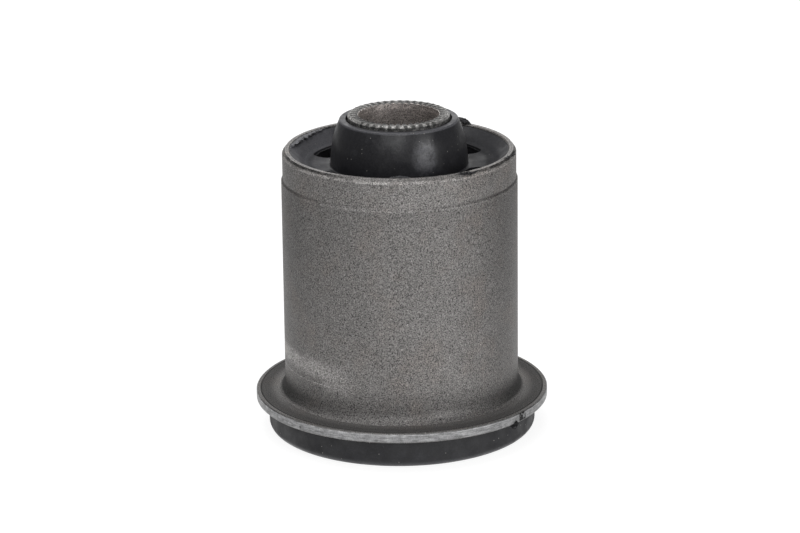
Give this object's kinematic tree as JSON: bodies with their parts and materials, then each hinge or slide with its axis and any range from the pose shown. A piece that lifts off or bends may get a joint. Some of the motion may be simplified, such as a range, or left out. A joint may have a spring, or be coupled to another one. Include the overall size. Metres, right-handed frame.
{
  "type": "suspension arm bush",
  "caption": "Bonded rubber bush for a suspension arm: a flanged steel outer sleeve, a slotted rubber body with a thrust ring, and a steel inner sleeve with serrated ends.",
  "frame": {"origin": "centre of the lower end, on the plane of the thrust ring's face and the inner sleeve's lower teeth", "axes": "+Z along the bush's axis, from the flanged end to the plain end; the slots are centred 3 degrees round from +Y and -Y"},
  "size_m": [0.075, 0.075, 0.0828],
  "materials": {
    "outer_sleeve": "blasted and phosphated, matte grey",
    "inner_sleeve": "turned, matte grey, with a browned bore",
    "rubber_body": "moulded black rubber, satin"
  },
  "bodies": {
    "root": {"outer_sleeve": "outer_sleeve", "inner_sleeve": "inner_sleeve", "rubber_body": "rubber_body"}
  },
  "joints": []
}
